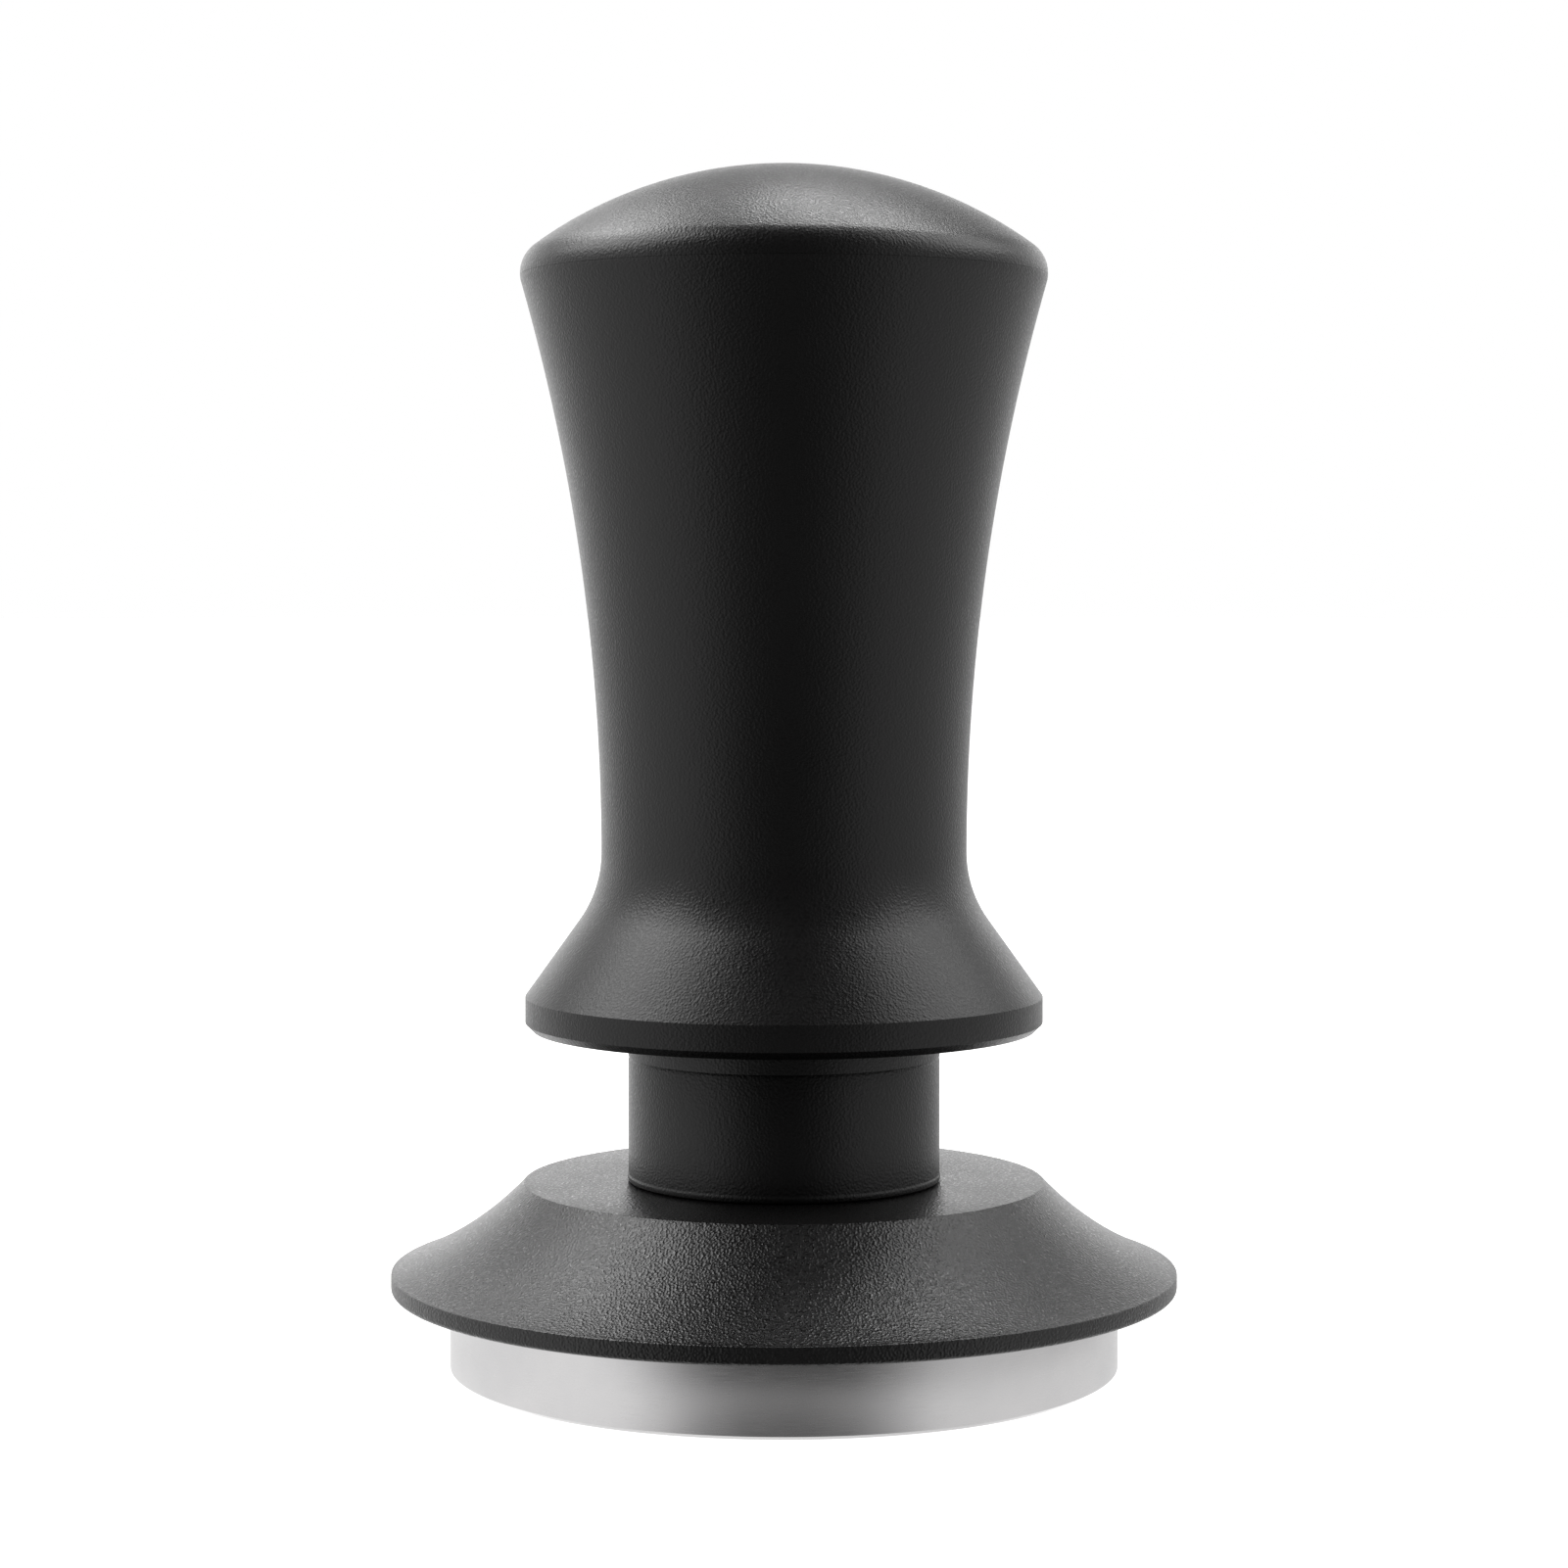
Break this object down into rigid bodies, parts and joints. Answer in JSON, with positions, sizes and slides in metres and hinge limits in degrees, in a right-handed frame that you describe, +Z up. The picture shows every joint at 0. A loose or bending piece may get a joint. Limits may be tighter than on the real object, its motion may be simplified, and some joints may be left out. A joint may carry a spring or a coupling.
{
  "type": "espresso tamper",
  "caption": "Hand tamper for ground coffee: a steel disc on a sprung shaft, a sliding levelling skirt that lands on the basket's rim, and a waisted black handle with a domed cap.",
  "frame": {"origin": "centre of the flat tamping face, at the bottom", "axes": "+Z up the shaft to the top of the dome; X and Y are free, since the outside is round, and the cross pin lies along X"},
  "size_m": [0.0686, 0.0686, 0.1049],
  "materials": {
    "black_anodised": "bead-blasted, black anodised",
    "turned_stainless": "fine turned, satin",
    "machined_steel": "plain turned",
    "spring_steel": "drawn wire",
    "bronze": "turned bearing bronze",
    "acetal": "plain white",
    "rubber": "matt"
  },
  "bodies": {
    "base_stem": {"tamper_base": "turned_stainless", "shaft": "machined_steel", "hub_bumper": "rubber", "stop_spacer": "machined_steel", "return_spring_seat": "machined_steel", "shaft_circlip": "spring_steel", "return_spring": "spring_steel", "plunger_head": "machined_steel", "plunger_bumper": "rubber", "plunger_guide_ring": "acetal", "cross_pin": "machined_steel", "main_spring": "spring_steel"},
    "slide_washer": {"thrust_washer": "acetal"},
    "leveller": {"leveller_skirt": "black_anodised", "leveller_sleeve": "black_anodised", "leveller_ring_nut": "machined_steel", "sleeve_bush": "bronze"},
    "handle": {"handle_body": "black_anodised", "wiper_ring": "rubber", "neck_glide_ring": "acetal", "shaft_guide_bush": "bronze", "main_spring_seat": "machined_steel", "preload_screw": "machined_steel", "preload_lock_ring": "bronze", "cap_o_ring": "rubber", "top_cap": "black_anodised"}
  },
  "joints": [
    {"name": "handle_press", "type": "slide", "parent": "base_stem", "child": "handle", "axis": [0, 0, 1], "range_m": [-0.004, 0], "stiffness_N_per_m": 8150, "springref_m": 0.0163, "deforming": ["main_spring"]},
    {"name": "leveller_slide", "type": "slide", "parent": "base_stem", "child": "slide_washer", "axis": [0, 0, 1], "range_m": [0, 0.0085], "stiffness_N_per_m": 300, "springref_m": -0.01, "deforming": ["return_spring"]},
    {"name": "leveller_spin", "type": "hinge", "parent": "slide_washer", "child": "leveller", "pos_m": [0, 0, 0.02], "axis": [0, 0, 1], "continuous": true}
  ]
}
